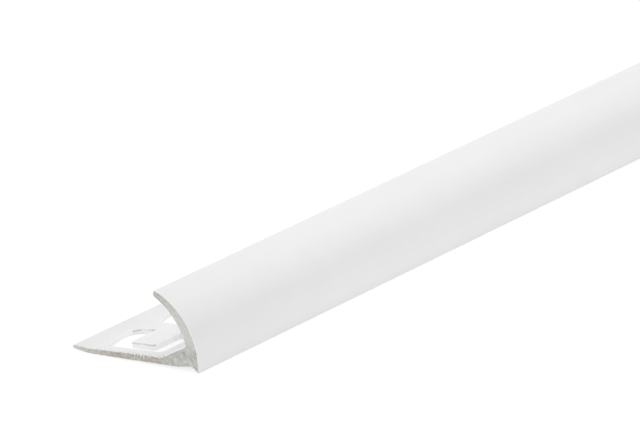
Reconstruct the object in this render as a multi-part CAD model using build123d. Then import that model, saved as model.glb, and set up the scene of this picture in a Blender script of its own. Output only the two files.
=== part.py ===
from build123d import *
import math
import os

# Outside corner tile trim: one bar of extruded rigid PVC. Sizes are in millimetres.
# The bar runs along Y. Its quarter-round face looks towards +X and its punched fixing leg points to -X.
# The section is drawn with the leg level, x = 0 at the front of the lip and the leg's underside at
# height 0. The finished bar is then laid down the way it rests on a floor: on the lip under the face
# and on the heel near the leg's outer edge.

# The bar, a stock length
length = 2500.0

# Quarter-round face: its wall thins from the root on the leg to an upright, rounded tip at the tile
face_radius = 12.0
face_sweep = 69.0
face_centre_height = 0.4
face_set_back = 0.1
inner_radius = 12.0
root_height = 3.4
root_wall = 1.75
tip_height = 1.1
tip_nose_round = 0.3
tip_under_round = 0.6

# Lip below the face, and the shallow relief in the underside behind it
lip_drop = 0.55
lip_width = 0.12
lip_slope_width = 1.1
relief_depth = 0.3
relief_width = 2.6

# Fixing leg, from the face outwards: gusset, plain strip, punched field, plain strip, turned-up edge.
# It thins from the gusset to the heel.
leg_thickness = 1.05
heel_thickness = 0.72
gusset_reach = 6.6
gusset_round = 1.0
inner_strip = 1.7
inner_slot = 2.95
tongue_width = 4.45
outer_slot = 3.3
outer_strip = 0.7
edge_width = 2.75
edge_thickness = 0.5
edge_lift = 0.47
edge_round = 0.15

# Punching along the leg: a horseshoe slot around a tongue that points back to the sawn end. The outer
# wall of the hole bows in towards the sawn end and has a tighter shoulder at the other end.
end_margin = 2.6
near_slot = 3.0
bow_length = 6.1
bow_depth = 1.8
wall_straight = 1.2
shoulder_length = 2.45
shoulder_depth = 1.15
far_slant = 0.65
bridge = 3.85

hole_inner = gusset_reach + inner_strip
tongue_inner = hole_inner + inner_slot
tongue_outer = tongue_inner + tongue_width
hole_outer = tongue_outer + outer_slot
heel_reach = hole_outer + outer_strip
leg_reach = heel_reach + edge_width
hole_length = bow_length + wall_straight + shoulder_length + far_slant
pitch = hole_length + bridge
hole_count = math.floor((length - 2 * end_margin - hole_length) / pitch) + 1


def face_depth(height):
    """How far the outside of the quarter round lies behind the lip's front at a height."""
    rise = height - face_centre_height
    return face_set_back + face_radius - math.sqrt(face_radius**2 - rise**2)


def rounded(profile, corner, radius):
    """The profile with one of its corners rounded."""
    return fillet(profile.vertices().sort_by_distance(corner)[0], radius)


def section():
    """The extruded outline, counter-clockwise from the foot of the lip, its leg level."""
    lip_front = (0, -lip_drop)
    face_foot = (-face_set_back, face_centre_height)
    face_centre = (-face_set_back - face_radius, face_centre_height)
    sweep = math.radians(face_sweep)
    tip_x = face_centre[0] + face_radius * math.cos(sweep)
    tip_top = (tip_x, face_centre_height + face_radius * math.sin(sweep))
    tip_under = (tip_x, tip_top[1] - tip_height)
    root = (-face_depth(root_height) - root_wall, root_height)
    gusset_foot = (-gusset_reach, leg_thickness)
    heel_top = (-heel_reach, heel_thickness)
    edge_top = (-leg_reach, edge_lift + edge_thickness)
    edge_under = (-leg_reach, edge_lift)
    heel = (-heel_reach, 0)
    notch = (-lip_width - lip_slope_width, relief_depth)
    relief_foot = (notch[0] - relief_width, 0)
    lip_back = (-lip_width, -lip_drop)

    outline = [
        Line(lip_front, face_foot),
        CenterArc(face_centre, face_radius, 0, face_sweep),
        Line(tip_top, tip_under),
        RadiusArc(tip_under, root, inner_radius),
        Polyline(root, gusset_foot, heel_top, edge_top, edge_under),
        Polyline(edge_under, heel, relief_foot, notch, lip_back, lip_front),
    ]
    profile = rounded(make_face(outline), tip_top, tip_nose_round)
    profile = rounded(profile, tip_under, tip_under_round)
    profile = rounded(profile, gusset_foot, gusset_round)
    profile = rounded(profile, edge_top, edge_round)
    return rounded(profile, edge_under, edge_round)


def perforation():
    """One punching in plan, its edge nearest the sawn end on y = 0, with the tongue left standing."""
    near_corner = (-hole_inner, 0)
    bow_end = (-hole_outer + bow_depth, 0)
    wall_near = (-hole_outer, bow_length)
    wall_far = (-hole_outer, bow_length + wall_straight)
    shoulder_end = (-hole_outer + shoulder_depth, hole_length - far_slant)
    tongue_outer_root = (-tongue_outer, hole_length)
    tongue_outer_tip = (-tongue_outer, near_slot)
    tongue_inner_tip = (-tongue_inner, near_slot)
    tongue_inner_root = (-tongue_inner, hole_length)
    far_corner = (-hole_inner, hole_length)

    outline = [
        Line(near_corner, bow_end),
        TangentArc(wall_near, bow_end, tangent=(0, -1)),
        Line(wall_near, wall_far),
        TangentArc(wall_far, shoulder_end, tangent=(0, 1)),
        Polyline(shoulder_end, tongue_outer_root, tongue_outer_tip),
        Polyline(tongue_outer_tip, tongue_inner_tip, tongue_inner_root),
        Polyline(tongue_inner_root, far_corner, near_corner),
    ]
    return make_face(outline)


def punched_bar():
    """The section drawn out to length and punched along the leg, counted from the sawn end at -Y."""
    bar = extrude(Plane.XZ * section(), amount=length / 2, both=True)
    punch = Pos(0, 0, -leg_thickness) * extrude(perforation(), amount=3 * leg_thickness)
    first = end_margin - length / 2
    return bar - [Pos(0, first + step * pitch, 0) * punch for step in range(hole_count)]


def laid_down(bar):
    """The bar as it rests: lip and heel both on the floor, centred over the origin."""
    tilt = math.degrees(math.atan2(lip_drop, heel_reach - lip_width))
    resting = Rot(0, -tilt, 0) * bar
    box = resting.bounding_box()
    return Pos(-box.center().X, -box.center().Y, -box.min.Z) * resting


corner_trim = laid_down(punched_bar())

os.makedirs("parts", exist_ok=True)
export_step(corner_trim, "parts/corner_trim.step")
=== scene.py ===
import math
import random

import bpy
import numpy as np
from mathutils import Matrix, Vector, noise
from mathutils.geometry import delaunay_2d_cdt


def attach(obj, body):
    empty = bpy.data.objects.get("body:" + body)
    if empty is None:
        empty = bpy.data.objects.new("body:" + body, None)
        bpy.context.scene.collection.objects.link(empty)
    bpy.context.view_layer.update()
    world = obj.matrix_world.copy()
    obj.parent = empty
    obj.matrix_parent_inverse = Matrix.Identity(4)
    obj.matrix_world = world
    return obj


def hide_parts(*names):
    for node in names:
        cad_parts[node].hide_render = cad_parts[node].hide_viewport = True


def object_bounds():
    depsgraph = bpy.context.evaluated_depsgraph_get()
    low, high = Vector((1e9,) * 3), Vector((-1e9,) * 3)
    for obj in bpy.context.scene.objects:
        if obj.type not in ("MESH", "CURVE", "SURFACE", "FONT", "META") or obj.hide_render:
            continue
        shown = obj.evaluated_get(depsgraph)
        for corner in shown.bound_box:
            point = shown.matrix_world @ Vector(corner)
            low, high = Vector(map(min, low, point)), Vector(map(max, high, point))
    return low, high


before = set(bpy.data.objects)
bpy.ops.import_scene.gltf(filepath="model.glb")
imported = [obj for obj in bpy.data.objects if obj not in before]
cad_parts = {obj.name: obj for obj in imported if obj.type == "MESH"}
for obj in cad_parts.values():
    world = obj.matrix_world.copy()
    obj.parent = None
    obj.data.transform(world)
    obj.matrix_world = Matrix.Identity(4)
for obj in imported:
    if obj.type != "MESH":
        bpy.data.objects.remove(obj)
cad_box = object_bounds()


# The bar: white rigid PVC pushed through a die in one section, a quarter-round face over a flat fixing leg,
# then punched along the leg with a row of horseshoe holes, each around a tongue that stays standing.
# Sizes are millimetres in the section's own drawing: x = 0 at the front of the lip, underside at height 0.
bar_length = 2500.0
face_radius, face_sweep, face_centre_height, face_set_back = 12.0, math.radians(69.0), 0.4, 0.1
inner_radius, root_height, root_wall, root_round = 12.0, 3.4, 1.75, 0.25
tip_height, tip_nose_round, tip_under_round = 1.1, 0.3, 0.6
lip_drop, lip_width, lip_slope_width, lip_back_round, lip_front_round = 0.55, 0.12, 1.1, 0.05, 0.06
relief_depth, relief_width, relief_round, notch_round = 0.3, 2.6, 2.0, 0.15
leg_thickness, heel_thickness, gusset_reach, gusset_round = 1.05, 0.72, 6.6, 1.0
heel_reach, heel_top_round, heel_round = 19.7, 1.2, 2.0
leg_reach, edge_thickness, edge_lift, edge_round = 22.45, 0.5, 0.47, 0.15
hole_inner, tongue_inner, tongue_outer, hole_outer = 8.3, 11.25, 15.7, 19.0
end_margin, near_slot, hole_length, hole_pitch, hole_count = 2.6, 3.0, 10.4, 14.25, 175
bow_length, bow_depth, wall_straight, shoulder_length, shoulder_depth = 6.1, 1.8, 1.2, 2.45, 1.15
hole_round, tongue_root_round, tongue_tip_round = 0.5, 0.3, 0.6
rim_round, rim_bend, shaded_rim_depth = 0.08, 0.025, 0.28
field_margin = 0.15
field_inner, field_outer = -hole_inner + field_margin, -hole_outer - field_margin
rest_tilt = math.atan2(lip_drop, heel_reach - lip_width)
saw_break = 0.1


def laid_down(points):
    """Points (x, along, height) of the level drawing, as the bar rests on lip and heel, in metres."""
    p = np.asarray(points, dtype=float)
    c, s = math.cos(rest_tilt), math.sin(rest_tilt)
    shift = cad_box[1].x * 1000 - lip_drop * s
    lift = lip_width * s + lip_drop * c
    x = p[:, 0] * c - p[:, 2] * s + shift
    z = p[:, 0] * s + p[:, 2] * c + lift
    return np.stack([x, p[:, 1] - bar_length / 2, z], axis=1) / 1000


def swept(centre, radius, start, end, steps):
    """Points on an arc of the drawing, both ends included."""
    angles = np.linspace(start, end, steps + 1)
    return [(centre[0] + radius * math.cos(a), centre[1] + radius * math.sin(a)) for a in angles]


def eased(corners, closed=False, steps=4):
    """A path whose corners, given as (x, y, radius), are rounded; radius 0 leaves a corner as it is."""
    path = []
    last = len(corners) - 1
    for i, (x, y, radius) in enumerate(corners):
        if radius == 0 or (not closed and i in (0, last)):
            path.append((x, y))
            continue
        here = np.array((x, y))
        back = np.array(corners[i - 1][:2]) - here
        onward = np.array(corners[(i + 1) % (last + 1)][:2]) - here
        back /= np.linalg.norm(back)
        onward /= np.linalg.norm(onward)
        half = math.acos(float(np.clip(back @ onward, -1, 1))) / 2
        middle = (back + onward) / np.linalg.norm(back + onward)
        centre = here + middle * radius / math.sin(half)
        first = here + back * radius / math.tan(half) - centre
        final = here + onward * radius / math.tan(half) - centre
        start = math.atan2(first[1], first[0])
        turn = (math.atan2(final[1], final[0]) - start + math.pi) % (2 * math.pi) - math.pi
        path += swept(centre, radius, start, start + turn, steps)
    return path


def leg_top(x):
    """Height of the leg's top at a place across the bar; it falls evenly from the gusset to the heel."""
    share = (-x - gusset_reach) / (heel_reach - gusset_reach)
    return leg_thickness + (heel_thickness - leg_thickness) * share


def face_side(outside_steps=40, inside_steps=24):
    """The section from the leg's underside round the lip, the face and the gusset to the leg's top."""
    notch_x = -lip_width - lip_slope_width
    face_centre = (-face_set_back - face_radius, face_centre_height)
    outside = swept(face_centre, face_radius, 0, face_sweep, outside_steps)
    tip_under = np.array((outside[-1][0], outside[-1][1] - tip_height))
    root_rise = root_height - face_centre_height
    behind = face_set_back + face_radius - math.sqrt(face_radius**2 - root_rise**2)
    root = np.array((-behind - root_wall, root_height))
    chord = root - tip_under
    half_chord = np.linalg.norm(chord) / 2
    towards_face = np.array((-chord[1], chord[0])) / (2 * half_chord)
    inner_centre = (tip_under + root) / 2 - towards_face * math.sqrt(inner_radius**2 - half_chord**2)
    start = math.atan2(*(tip_under - inner_centre)[::-1])
    end = math.atan2(*(root - inner_centre)[::-1])
    inside = swept(inner_centre, inner_radius, start, end, inside_steps)
    corners = [(field_inner, 0, 0), (notch_x - relief_width, 0, relief_round)]
    corners += [(notch_x, relief_depth, notch_round)]
    corners += [(-lip_width, -lip_drop, lip_back_round), (0, -lip_drop, lip_front_round)]
    corners += [(*p, 0) for p in outside[:-2]]
    corners += [(*outside[-1], tip_nose_round), (*inside[0], tip_under_round)]
    corners += [(*p, 0) for p in inside[1:-1]]
    corners += [(*root, root_round), (-gusset_reach, leg_thickness, gusset_round)]
    corners += [(field_inner, leg_top(field_inner), 0)]
    return eased(corners)


def edge_side():
    """The section from the leg's top round its turned-up outer edge to the heel."""
    corners = [(field_outer, leg_top(field_outer), 0), (-heel_reach, heel_thickness, heel_top_round)]
    corners += [(-leg_reach, edge_lift + edge_thickness, edge_round), (-leg_reach, edge_lift, edge_round)]
    corners += [(-heel_reach, 0, heel_round), (field_outer, 0, 0)]
    return eased(corners)


def hole_outline(bow_steps=9, shoulder_steps=7):
    """One horseshoe hole in plan, from its corner nearest the sawn end and the face."""
    bow_radius = (bow_length**2 + bow_depth**2) / (2 * bow_depth)
    shoulder_radius = (shoulder_length**2 + shoulder_depth**2) / (2 * shoulder_depth)
    bow_centre = (-hole_outer + bow_radius, bow_length)
    shoulder_centre = (-hole_outer + shoulder_radius, bow_length + wall_straight)
    bow_turn = math.asin(bow_length / bow_radius)
    shoulder_turn = math.asin(shoulder_length / shoulder_radius)
    bow = swept(bow_centre, bow_radius, math.pi + bow_turn, math.pi, bow_steps)
    shoulder = swept(shoulder_centre, shoulder_radius, math.pi, math.pi - shoulder_turn, shoulder_steps)
    corners = [(-hole_inner, 0, hole_round), (*bow[0], hole_round)]
    corners += [(*p, 0) for p in bow[1:] + shoulder]
    corners += [(-tongue_outer, hole_length, tongue_root_round), (-tongue_outer, near_slot, tongue_tip_round)]
    corners += [(-tongue_inner, near_slot, tongue_tip_round), (-tongue_inner, hole_length, tongue_root_round)]
    corners += [(-hole_inner, hole_length, hole_round)]
    return np.array(eased(corners, closed=True))


def widened(outline, by, least_stretch=0.4):
    """A closed outline moved to the left of its run, so a clockwise one grows and the others shrink."""
    before = outline - np.roll(outline, 1, axis=0)
    after = np.roll(outline, -1, axis=0) - outline
    before /= np.linalg.norm(before, axis=1)[:, None]
    after /= np.linalg.norm(after, axis=1)[:, None]
    side = np.stack([-before[:, 1] - after[:, 1], before[:, 0] + after[:, 0]], axis=1)
    side /= np.linalg.norm(side, axis=1)[:, None]
    stretch = np.sum(side * np.stack([-after[:, 1], after[:, 0]], axis=1), axis=1)
    return outline + side * (by / np.maximum(stretch, least_stretch))[:, None]


def inside_outline(outline, points):
    """For each point, whether it lies inside a closed outline."""
    x, y = points[:, 0], points[:, 1]
    within = np.zeros(len(points), dtype=bool)
    for (x0, y0), (x1, y1) in zip(outline, np.roll(outline, -1, axis=0)):
        crosses = (y0 > y) != (y1 > y)
        with np.errstate(divide="ignore", invalid="ignore"):
            reach = x0 + (y - y0) * (x1 - x0) / (y1 - y0)
        within ^= crosses & (x < reach)
    return within


def filled(loops, loose, merge, wanted):
    """Left-turning triangles between closed loops and loose points; wanted picks them by their middles."""
    edges, start = [], 0
    for loop in loops:
        edges += [(start + i, start + (i + 1) % len(loop)) for i in range(len(loop))]
        start += len(loop)
    plan = [Vector(p) for points in (*loops, loose) for p in points]
    spots, _, triangles, *_ = delaunay_2d_cdt(plan, edges, [], 1, merge)
    spots = np.array([tuple(p) for p in spots])
    middles = np.array([spots[list(t)].mean(axis=0) for t in triangles])
    turned = []
    for (a, b, c), keep in zip(triangles, wanted(middles)):
        if keep:
            (bx, by), (cx, cy) = spots[b] - spots[a], spots[c] - spots[a]
            turned.append((a, b, c) if bx * cy - by * cx > 0 else (a, c, b))
    return spots, turned


class Skin:
    """Gathers points and faces of one piece before it becomes a mesh."""

    def __init__(self):
        self.points, self.faces, self.kinds = [], [], []

    def add(self, points, faces, kind=0):
        """Takes in faces of one kind of finish, numbered over these points alone."""
        start = sum(len(p) for p in self.points)
        self.points.append(np.asarray(points, dtype=float))
        self.faces += [tuple(start + i for i in f) for f in faces]
        self.kinds += [kind] * len(faces)

    def made(self, name, finishes, sharp=32.0, weld_reach=2e-6):
        """The piece itself, welded, and smooth but for edges that turn by more than sharp degrees."""
        mesh = bpy.data.meshes.new(name)
        mesh.from_pydata(laid_down(np.concatenate(self.points)).tolist(), [], self.faces)
        for finish in finishes:
            mesh.materials.append(finish)
        mesh.polygons.foreach_set("material_index", self.kinds)
        piece = bpy.data.objects.new(name, mesh)
        bpy.context.scene.collection.objects.link(piece)
        weld = piece.modifiers.new("weld", "WELD")
        weld.merge_threshold = weld_reach
        with bpy.context.temp_override(object=piece, active_object=piece, selected_objects=[piece]):
            bpy.ops.object.modifier_apply(modifier="weld")
        piece.data.shade_smooth()
        piece.data.set_sharp_from_angle(angle=math.radians(sharp))
        even = piece.modifiers.new("even normals", "WEIGHTED_NORMAL")
        even.keep_sharp = True
        return piece


def drawn_along(skin, path, stations):
    """Sweeps an open path of the section along the bar."""
    n = len(path)
    points = [(x, v, h) for v in stations for x, h in path]
    faces = [
        (k * n + i, (k + 1) * n + i, (k + 1) * n + i + 1, k * n + i + 1)
        for k in range(len(stations) - 1)
        for i in range(n - 1)
    ]
    skin.add(points, faces)


def punched_cell():
    """One pitch of the leg's punched field: plan points, triangles and the rings down the hole's wall."""
    hole = hole_outline() + (0, (hole_pitch - hole_length) / 2)
    rim = widened(hole, rim_round)
    field = [(field_inner, 0), (field_outer, 0), (field_outer, hole_pitch), (field_inner, hole_pitch)]
    around = [field, rim.tolist()]
    spots, upward = filled(around, [], merge=1e-6, wanted=lambda middles: ~inside_outline(rim, middles))
    rings = []
    for by, under_top in ((rim_round, 0), (rim_bend, rim_bend), (0, rim_round), (0, shaded_rim_depth)):
        rings += [(x, y, leg_top(x) - under_top) for x, y in widened(hole, by)]
    for by, height in ((0, rim_round), (rim_bend, rim_bend), (rim_round, 0)):
        rings += [(x, y, height) for x, y in widened(hole, by)]
    return spots, upward, np.array(rings), len(rim)


def set_inputs(tree, node, inputs):
    """Sets the inputs of a node: another node's output is linked to it, a plain value is put in."""
    for name, value in inputs.items():
        if isinstance(value, bpy.types.NodeSocket):
            tree.links.new(value, node.inputs[name])
        else:
            node.inputs[name].default_value = value


def add_node(tree, kind, inputs, **settings):
    """A new node with its settings and inputs."""
    node = tree.nodes.new("ShaderNode" + kind)
    for name, value in settings.items():
        setattr(node, name, value)
    set_inputs(tree, node, inputs)
    return node


def maths(tree, operation, *values, clamp=False):
    """One step of reckoning with values or outputs."""
    inputs = dict(enumerate(values))
    return add_node(tree, "Math", inputs, operation=operation, use_clamp=clamp).outputs["Value"]


def spread(tree, value, start, end, low=0.0, high=1.0):
    """A value between start and end, turned into one between low and high."""
    inputs = {"Value": value, "From Min": start, "From Max": end, "To Min": low, "To Max": high}
    return add_node(tree, "MapRange", inputs).outputs["Result"]


def shaded(tree, value, stops):
    """A run of greys or colours over a value from 0 to 1, with stops given in order."""
    ramp = add_node(tree, "ValToRGB", {"Fac": value})
    marks = ramp.color_ramp.elements
    stops = [(at, (*tone, 1) if isinstance(tone, tuple) else (tone, tone, tone, 1)) for at, tone in stops]
    marks[0].position, marks[0].color = stops[0]
    marks[1].position, marks[1].color = stops[-1]
    for at, tone in stops[1:-1]:
        marks.new(at).color = tone
    return ramp.outputs["Color"]


def mixed(tree, share, base, over, **settings):
    """One colour over another."""
    inputs = {"Factor": share, "A": base, "B": over}
    return add_node(tree, "Mix", inputs, data_type="RGBA", **settings).outputs["Result"]


def mottled(tree, place, scale, detail, roughness=0.5):
    """Uneven patches from 0 to 1."""
    inputs = {"Vector": place, "Scale": scale, "Detail": detail, "Roughness": roughness}
    return add_node(tree, "TexNoise", inputs).outputs["Fac"]


def finish_of(name, inputs):
    """A new finish with its shader's plain values set, and with it the node tree and the shader."""
    finish = bpy.data.materials.new(name)
    finish.use_nodes = True
    tree = finish.node_tree
    shader = tree.nodes["Principled BSDF"]
    set_inputs(tree, shader, inputs)
    return finish, tree, shader


white_pvc, tree, shader = finish_of("white_pvc", {
    "Specular IOR Level": 0.5,
    "IOR": 1.52,
    "Subsurface Weight": 0.2,
    "Subsurface Radius": (1.0, 1.0, 1.0),
    "Subsurface Scale": 0.0006,
})
place = add_node(tree, "TexCoord", {}).outputs["Object"]
apart = add_node(tree, "SeparateXYZ", {"Vector": place}).outputs
drawn = add_node(tree, "Mapping", {"Vector": place, "Scale": (900, 6, 900)}).outputs["Vector"]
die_lines = mottled(tree, drawn, scale=1.0, detail=4.0, roughness=0.6)
clouding = mottled(tree, place, scale=140.0, detail=3.0)
unevenness = {"Factor": 0.45, "A": die_lines, "B": clouding}
both = add_node(tree, "Mix", unevenness, data_type="FLOAT").outputs["Result"]
whites = shaded(tree, both, [(0.3, (0.905, 0.908, 0.91)), (0.7, (0.935, 0.935, 0.932))])
# Tones that change over the bar go by metres from its origin: across (X), along (Y) and up (Z).
half_width = 0.0112
across_bar = spread(tree, apart["X"], -half_width, half_width)
# Painted shade across the section: the base colour is made lighter or darker by place across the bar,
# standing in for how the light falls on the face and the leg.
painted_shade_across = shaded(tree, across_bar, [
    (0.0, 0.895), (0.41, 0.99), (0.56, 0.98), (0.66, 0.948), (0.73, 0.968),
    (0.80, 0.976), (0.87, 0.962), (0.945, 0.934), (0.985, 0.94), (1.0, 0.968),
])
end_shade_from, root_shade_deepens_from, skin_end = 1.2100, 1.2465, 1.2495
from_middle = maths(tree, "ABSOLUTE", apart["Y"])
# Painted shade along the bar: the last 40 mm at each end grow darker, down to 0.962 of the base colour.
end_shade = spread(tree, from_middle, end_shade_from, skin_end, 1.0, 0.962)
# Painted shade on the leg's top under the face, darkest towards the root: 6% along the whole bar, deepening
# to 15% in the last 3 mm by the cut.
root_shade = spread(tree, from_middle, root_shade_deepens_from, skin_end, 0.06, 0.15)
on_leg = spread(tree, apart["X"], 0.0085, 0.0075)
under_face = spread(tree, apart["Z"], 0.0055, 0.0045)
towards_root = spread(tree, apart["X"], -0.006, 0.004, low=0.15)
inner_leg = maths(tree, "MULTIPLY", on_leg, towards_root)
leg_only = maths(tree, "MULTIPLY", inner_leg, under_face)
# Both painted shades together, as one multiplier of the base colour.
both_painted_shades = maths(tree, "SUBTRACT", end_shade, maths(tree, "MULTIPLY", root_shade, leg_only))
toned = maths(tree, "MULTIPLY", painted_shade_across, both_painted_shades)
gloss = spread(tree, both, 0.25, 0.75, 0.30, 0.44)
drag = add_node(tree, "Bump", {"Strength": 0.12, "Distance": 0.00003, "Height": die_lines}).outputs["Normal"]
set_inputs(tree, shader, {
    "Base Color": mixed(tree, 1.0, whites, toned, blend_type="MULTIPLY"),
    "Roughness": gloss,
    "Normal": drag,
})

# Painted light on the hole walls: they are lighter than the bar's skin, standing in for light that reaches
# them through the thin PVC.
lit_wall_pvc, *_ = finish_of("lit_wall_pvc", {"Base Color": (0.975, 0.975, 0.973, 1), "Roughness": 0.6})
# Painted shade: the deeper part of the hole walls that face the sawn end is a darker copy of the wall finish.
shaded_wall_pvc, *_ = finish_of("shaded_wall_pvc", {"Base Color": (0.9, 0.9, 0.898, 1), "Roughness": 0.6})
# Painted shade: a mottled dark line along the top 0.28 mm of the hole walls that face the sawn end.
rim_shade_pvc, tree, shader = finish_of("rim_shade_pvc", {"Roughness": 0.6})
place = add_node(tree, "TexCoord", {}).outputs["Object"]
rim_shade_mottle = mottled(tree, place, scale=900.0, detail=3.0)
set_inputs(tree, shader, {"Base Color": shaded(tree, rim_shade_mottle, [(0.35, 0.60), (0.65, 0.82)])})

bar = Skin()
cells = end_margin - (hole_pitch - hole_length) / 2 + hole_pitch * np.arange(hole_count + 1)
stations = [saw_break, *cells, bar_length - saw_break]
face_path, edge_path = face_side(), edge_side()
drawn_along(bar, face_path, stations)
drawn_along(bar, edge_path, stations)
for near, far in (stations[:2], stations[-2:]):
    strip = ((field_inner, near), (field_inner, far), (field_outer, far), (field_outer, near))
    for top, order in ((1, (0, 1, 2, 3)), (0, (3, 2, 1, 0))):
        bar.add([(x, v, top * leg_top(x)) for x, v in strip], [order])
spots, upward, rings, ring_size = punched_cell()
downward = [t[::-1] for t in upward]
wall, shaded_wall, shaded_rim = [], [], []
rings_down, shaded_rim_rings, facing_share = len(rings) // ring_size - 1, 3, 0.35
for k in range(rings_down):
    for i in range(ring_size):
        j = (i + 1) % ring_size
        quad = (k * ring_size + i, (k + 1) * ring_size + i, (k + 1) * ring_size + j, k * ring_size + j)
        run = rings[j] - rings[i]
        # Walls facing the sawn end are given painted shade: a dark line in the top rings and a darker copy of
        # the wall finish below.
        towards_sawn_end = run[0] > facing_share * np.linalg.norm(run)
        if towards_sawn_end:
            (shaded_rim if k < shaded_rim_rings else shaded_wall).append(quad)
        else:
            wall.append(quad)
for near in cells[:-1]:
    bar.add([(x, near + y, leg_top(x)) for x, y in spots], upward)
    bar.add([(x, near + y, 0.0) for x, y in spots], downward)
    for kind, faces in enumerate((wall, shaded_wall, shaded_rim), start=1):
        bar.add(rings + (0, near, 0), faces, kind=kind)
trim_bar = bar.made("trim_bar", [white_pvc, lit_wall_pvc, shaded_wall_pvc, rim_shade_pvc])
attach(trim_bar, "root")
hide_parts("corner_trim")


# The two sawn ends: the bar is cut to length with a coarse blade, which tears the PVC.
# The cut is matt and grey and ridged by the teeth, with a rim that is broken to the skin. Dirt sits in the
# leg's cut, warm in colour along its underside and greyer above.
def slanted(tree, place, lean, size):
    """Places measured along streaks of a size, which lean by degrees in the cut."""
    inputs = {"Vector": place, "Rotation": (0, math.radians(lean), 0), "Scale": size}
    return add_node(tree, "Mapping", inputs, vector_type="TEXTURE").outputs["Vector"]


def reach_along(tree, place, way):
    """How far a place lies along a way."""
    return add_node(tree, "VectorMath", {0: place, 1: way}, operation="DOT_PRODUCT").outputs["Value"]


sawn_pvc, tree, shader = finish_of("sawn_pvc", {"Specular IOR Level": 0.25, "Roughness": 0.85})
place = add_node(tree, "TexCoord", {}).outputs["Object"]
apart = add_node(tree, "SeparateXYZ", {"Vector": place}).outputs
grain = mottled(tree, place, scale=2300.0, detail=5.0, roughness=0.65)
greys = shaded(tree, grain, [(0.32, (0.495, 0.498, 0.466)), (0.68, (0.65, 0.655, 0.623))])
cut_top = 0.012
up_the_cut = spread(tree, apart["Z"], 0.0, cut_top)
# Darker about 2.4 mm up the cut, a little lighter from 4 to 7 mm, and darker again near the top.
tone_up_the_cut = shaded(tree, up_the_cut, [
    (0.0, 1.0), (0.12, 1.0), (0.2, 0.88), (0.36, 1.04), (0.6, 1.03), (0.95, 0.93),
])
sawn_grey = mixed(tree, 1.0, greys, tone_up_the_cut, blend_type="MULTIPLY")
teeth = mottled(tree, slanted(tree, place, 52, (0.0013, 0.0025, 0.00026)), scale=1.0, detail=3.0)
furrows = spread(tree, teeth, 0.50, 0.36)
low_down = spread(tree, apart["Z"], 0.0050, 0.0034, high=0.7)
by_root = spread(tree, apart["X"], 0.0045, 0.0075, low=0.15)
scored = maths(tree, "MULTIPLY", furrows, maths(tree, "MULTIPLY", low_down, by_root))
scratched = mixed(tree, scored, sawn_grey, (0.30, 0.30, 0.28, 1))
upright = (-math.sin(rest_tilt), 0, math.cos(rest_tilt))
underside = float(laid_down([(0, 0, 0)])[0] @ upright)
dirt_height, dirt_end = 0.002, 0.0075
above_underside = reach_along(tree, place, upright)
up_the_leg = spread(tree, above_underside, underside, underside + dirt_height)
in_the_leg = shaded(tree, up_the_leg, [(0.0, 0.75), (0.12, 0.85), (0.26, 1.0), (0.45, 1.0), (0.7, 0.35)])
leg_share = spread(tree, apart["X"], -half_width, dirt_end)
along_leg = shaded(tree, leg_share, [
    (0.06, 0.0), (0.22, 0.3), (0.4, 0.65), (0.5, 0.45), (0.65, 0.62), (0.82, 0.8), (0.95, 0.0),
])
dragged = slanted(tree, place, 14, (0.0009, 0.0009, 0.00035))
smears = mottled(tree, dragged, scale=1.0, detail=5.0, roughness=0.7)
patchy = spread(tree, smears, 0.37, 0.58)
dirty = maths(tree, "MULTIPLY", maths(tree, "MULTIPLY", in_the_leg, along_leg), patchy)
dirt_colours = shaded(tree, up_the_leg, [
    (0.0, (0.47, 0.325, 0.235)), (0.22, (0.33, 0.25, 0.20)), (0.42, (0.30, 0.265, 0.24)),
])
ridges = add_node(tree, "Bump", {"Strength": 0.5, "Distance": 0.00004, "Height": grain}).outputs["Normal"]
set_inputs(tree, shader, {"Base Color": mixed(tree, dirty, scratched, dirt_colours), "Normal": ridges})

bruised_pvc, *_ = finish_of("bruised_pvc", {"Base Color": (0.93, 0.93, 0.92, 1), "Roughness": 0.55})
soiled_pvc, *_ = finish_of("soiled_pvc", {"Base Color": (0.72, 0.50, 0.36, 1), "Roughness": 0.8})

rim_bite, rim_wander, rim_wave, face_bite, face_above = 0.035, 0.02, 1.7, 2.2, 3.0
cut_depth, grid_step, grid_stray, grid_inset = 0.04, 0.15, 0.05, 0.17
stroke_run, stroke_rise, ridge_rate, stroke_rate, grit_rate = 0.82, 0.57, 2.6, 0.35, 3.5
ridge_height, grit_height, leg_roughness, leg_below, rim_calm = 0.022, 0.014, 1.9, 1.6, 0.5
under_height, under_inner, under_outer = 0.3, -4.0, -20.0
torn_band, torn_inner, torn_outer = 0.5, -7.0, -21.0


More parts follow.
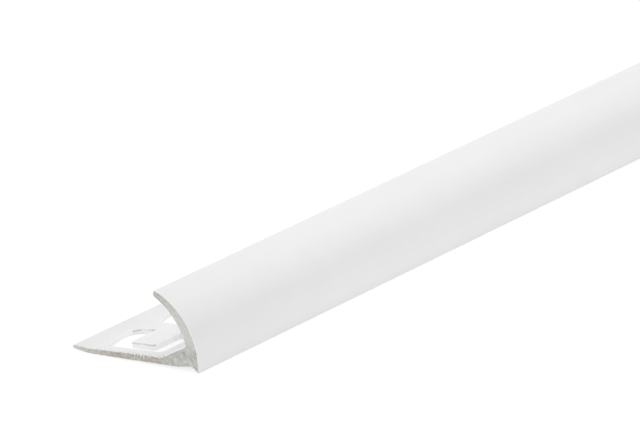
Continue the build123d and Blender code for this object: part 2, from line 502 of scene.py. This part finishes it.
def sawn_face(name, seed, far_end):
    """A cut over the whole section, ridged along the saw's stroke, with a small rim broken to the skin."""
    pick = random.Random(seed)
    outline = np.array(face_path + edge_path)
    bites = [rim_bite + rim_wander * noise.noise((x * rim_wave, y * rim_wave, seed)) for x, y in outline]
    ragged = np.array(bites)
    ragged[outline[:, 1] > face_above] *= face_bite
    rim = outline + (widened(outline, 1.0) - outline) * ragged[:, None]
    low, high = rim.min(axis=0), rim.max(axis=0)
    grid = []
    for x in np.arange(low[0], high[0], grid_step):
        for y in np.arange(low[1], high[1], grid_step):
            stray = pick.uniform(-grid_stray, grid_stray)
            grid.append((x + stray, y + pick.uniform(-grid_stray, grid_stray)))
    grid = np.array(grid)
    grid = grid[inside_outline(widened(outline, grid_inset), grid)]
    n = len(rim)
    around, loose = [rim.tolist()], grid.tolist()
    spots, faces = filled(around, loose, merge=1e-7, wanted=lambda middles: inside_outline(rim, middles))
    heights = []
    for x, y in spots:
        stroke = x * stroke_run - y * stroke_rise
        along = x * stroke_rise + y * stroke_run
        ridge = noise.noise((stroke * ridge_rate, along * stroke_rate, seed))
        grit = noise.noise((x * grit_rate, y * grit_rate, seed + 5))
        leg = 1.0 if y > leg_below else leg_roughness
        heights.append(ridge_height * leg * ridge + grit_height * leg * grit)
    heights = np.array(heights)
    heights[:n] *= rim_calm
    facing = 1 if far_end else -1
    base = bar_length if far_end else 0.0
    cut_points = [(x, base - cut_depth * facing + facing * h, y) for (x, y), h in zip(spots, heights)]
    rim_points = [(x, base - cut_depth * facing + facing * h, y) for (x, y), h in zip(rim, heights[:n])]
    skin_points = [(x, base - facing * saw_break, y) for x, y in outline]
    band = [(i, (i + 1) % n, n + (i + 1) % n, n + i) for i in range(n)]
    x, height = outline[:, 0], outline[:, 1]
    under_leg = (height < under_height) & (x < under_inner) & (x > under_outer)
    torn_top = (np.abs(height - leg_thickness) < torn_band) & (x < torn_inner) & (x > torn_outer)
    rim_kinds = np.where(under_leg, 2, np.where(torn_top, 0, 1))
    cut = Skin()
    cut.add(cut_points, [f[::-1] for f in faces] if far_end else faces)
    for kind in range(3):
        strip = [f for f, rim_kind in zip(band, rim_kinds) if rim_kind == kind]
        cut.add(rim_points + skin_points, strip if far_end else [f[::-1] for f in strip], kind=kind)
    return cut.made(name, [sawn_pvc, bruised_pvc, soiled_pvc], sharp=50.0)


for name, seed, far_end in (("sawn_end_near", 11, False), ("sawn_end_far", 23, True)):
    end = sawn_face(name, seed, far_end)
    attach(end, "root")


# Saw burr: fine curled threads of PVC that the blade drags out and leaves hanging on the leg's edges.
# They are thicker where they leave the cut and taper towards the tip. Most stand on the leg's top edge, and
# some pale ones there hang down over the cut.
top_share, gusset_slope, floor_gap = 0.72, 0.54, 0.03
fringe_reach, start_reach = (2.5, 20.5, 11.0), (-0.12, 0.02)
bottom_height, relief_height, relief_end = 0.02, 0.16, 4.0
thread_length, thread_thickness = (0.15, 0.75, 0.3), (0.028, 0.06)
thread_steps, taper, flatness, curl_share = 5, 0.8, 0.5, 0.28
hang_inner, hang_outer, hang_share, hang_start = -7.0, -11.5, 0.6, 0.02
hang_length, hang_thickness = (0.4, 0.75), (0.05, 0.085)


def burr_threads(name, seed, far_end, count):
    """A fringe of tapering threads along the top and bottom edges of the sawn leg."""
    pick = random.Random(seed)
    facing = 1 if far_end else -1
    base = bar_length if far_end else 0.0
    fringe = Skin()
    for _ in range(count):
        on_top = pick.random() < top_share
        x = -pick.triangular(*fringe_reach)
        if on_top:
            height = leg_top(x) + max(0.0, (gusset_reach + x) * gusset_slope)
        else:
            height = bottom_height if -x > relief_end else relief_height
        here = np.array((x, base + facing * pick.uniform(*start_reach), height))
        way = np.array((pick.uniform(-0.7, 0.7), facing * pick.uniform(-0.5, 0.9), pick.uniform(0.25, 1.0)))
        if not on_top:
            way[2] = pick.uniform(-0.15, 0.2)
            way[1] = facing * pick.uniform(0.4, 1.0)
        way /= np.linalg.norm(way)
        length = pick.triangular(*thread_length)
        thick = pick.uniform(*thread_thickness)
        curl = np.array((pick.uniform(-1, 1), pick.uniform(-1, 1), pick.uniform(-0.7, 0.5)))
        paleness = pick.randrange(2)
        if on_top and hang_outer < x < hang_inner and pick.random() < hang_share:
            here[1] = base + facing * hang_start
            way = np.array((pick.uniform(-0.25, 0.45), facing * 0.35, -0.85))
            length = pick.uniform(*hang_length)
            thick = pick.uniform(*hang_thickness)
            curl = np.array((pick.uniform(-0.3, 0.5), -facing * 0.25, -0.3))
            paleness = 1
        hoops = []
        for k in range(thread_steps + 1):
            side = np.cross(way, (0.3, 0.2, 0.93))
            side /= np.linalg.norm(side)
            wide = side * thick * (1 - taper * k / thread_steps)
            thin = np.cross(way, wide) * flatness
            hoops += [here + wide, here + thin, here - wide, here - thin]
            here = here + way * length / thread_steps
            way = way + curl * curl_share
            way /= np.linalg.norm(way)
        faces = [
            (4 * k + i, 4 * k + (i + 1) % 4, 4 * k + 4 + (i + 1) % 4, 4 * k + 4 + i)
            for k in range(thread_steps)
            for i in range(4)
        ]
        faces += [(3, 2, 1, 0), tuple(4 * thread_steps + i for i in range(4))]
        fringe.add([(x, y, max(z, floor_gap)) for x, y, z in hoops], faces, kind=paleness)
    return fringe.made(name, [sawn_pvc, bruised_pvc], sharp=70.0)


for name, seed, far_end, count in (("saw_burr_near", 5, False, 120), ("saw_burr_far", 9, True, 70)):
    burr = burr_threads(name, seed, far_end, count)
    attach(burr, "root")


# The stage: a sheet of white paper on the floor, far wider than the view, with the bar lying loose on it.
# To the eye most of its white is a glow, so it stays white and still takes the bar's soft shadow.
sheet_width = 300
bpy.ops.mesh.primitive_plane_add(size=sheet_width, location=(0, 0, 0))
floor = bpy.context.object
floor.name = "floor"
paper = bpy.data.materials.new("white_paper")
paper.use_nodes = True
tree = paper.node_tree
tree.nodes.clear()
glow_share = 0.8
matt = add_node(tree, "BsdfDiffuse", {"Color": (0.98, 0.98, 0.98, 1)}).outputs["BSDF"]
glow = add_node(tree, "Emission", {"Color": (1, 1, 1, 1), "Strength": 1.03}).outputs["Emission"]
rays = add_node(tree, "LightPath", {}).outputs
seen = maths(tree, "MAXIMUM", rays["Is Camera Ray"], rays["Is Glossy Ray"])
seen_through = maths(tree, "MAXIMUM", seen, rays["Is Transmission Ray"])
share = maths(tree, "MULTIPLY", seen_through, glow_share)
sheet = add_node(tree, "MixShader", {"Fac": share, 1: matt, 2: glow}).outputs["Shader"]
add_node(tree, "OutputMaterial", {"Surface": sheet})
floor.data.materials.append(paper)


# The light: a bright studio sky, dimmer in a band above the horizon, with a dark card set up low towards the
# bar's far end, which greys the round face. A broad soft lamp hangs above the sawn end and the leg, and a
# second one stands low on the leg's side.
sky = bpy.data.worlds.new("soft_studio")
bpy.context.scene.world = sky
sky.use_nodes = True
tree = sky.node_tree
far_lift, card_way, card_narrowness = 0.08, (0.2, 0.98, 0), 2.0
place = add_node(tree, "TexCoord", {}).outputs["Generated"]
apart = add_node(tree, "SeparateXYZ", {"Vector": place}).outputs
by_height = shaded(tree, apart["Z"], [
    (0.0, 1.3), (0.12, 0.88), (0.25, 0.66), (0.4, 0.9), (0.6, 0.98), (1.0, 0.85),
])
card_height = shaded(tree, apart["Z"], [(0.0, 0.05), (0.1, 0.65), (0.25, 0.76), (0.4, 0.3), (0.5, 0.0)])
card_side = reach_along(tree, place, card_way)
card_shape = maths(tree, "POWER", maths(tree, "MAXIMUM", card_side, 0.0), card_narrowness)
card = maths(tree, "MULTIPLY", card_height, card_shape)
far_side = maths(tree, "MULTIPLY_ADD", apart["Y"], far_lift, by_height)
carded = maths(tree, "SUBTRACT", far_side, card, clamp=True)
set_inputs(tree, tree.nodes["Background"], {"Color": carded, "Strength": 0.97})
lamps = (("soft_lamp", 0.58, 70, (18, -12, 0)), ("fill_lamp", 0.45, 50, (0, -74, 0)))
for name, strength, softness, turn in lamps:
    lamp = bpy.data.lights.new(name, "SUN")
    lamp.energy = strength
    lamp.angle = math.radians(softness)
    lamp_stand = bpy.data.objects.new(name, lamp)
    lamp_stand.rotation_euler = [math.radians(a) for a in turn]
    bpy.context.scene.collection.objects.link(lamp_stand)


# The camera: a long lens that looks down a little past the sawn end, with the bar running out of the frame to
# the right. Its place is measured from the foot of the lip on the cut, and its lens in pixels of the photo.
across = math.radians(58.7)
drop = math.radians(16.6)
to_right, to_top, distance = 0.01818, 0.02403, 1.3634
focal_pixels, photo_width, film_width = 9089, 640, 36.0
right = Vector((math.sin(across), math.cos(across), 0))
level = Vector((-math.cos(across), math.sin(across), 0))
forward = level * math.cos(drop) - Vector((0, 0, 1)) * math.sin(drop)
up = level * math.sin(drop) + Vector((0, 0, 1)) * math.cos(drop)
lip_tip = Vector((cad_box[1].x, cad_box[0].y, 0))
eye = lip_tip + right * to_right + up * to_top - forward * distance
lens = bpy.data.cameras.new("camera")
lens.sensor_width = film_width
lens.lens = focal_pixels / photo_width * film_width
lens.clip_start, lens.clip_end = 0.05, 200
camera = bpy.data.objects.new("camera", lens)
camera.matrix_world = Matrix((
    (right.x, up.x, -forward.x, eye.x),
    (right.y, up.y, -forward.y, eye.y),
    (right.z, up.z, -forward.z, eye.z),
    (0, 0, 0, 1),
))
bpy.context.scene.collection.objects.link(camera)
bpy.context.scene.camera = camera
bpy.context.scene.view_settings.view_transform = "Standard"
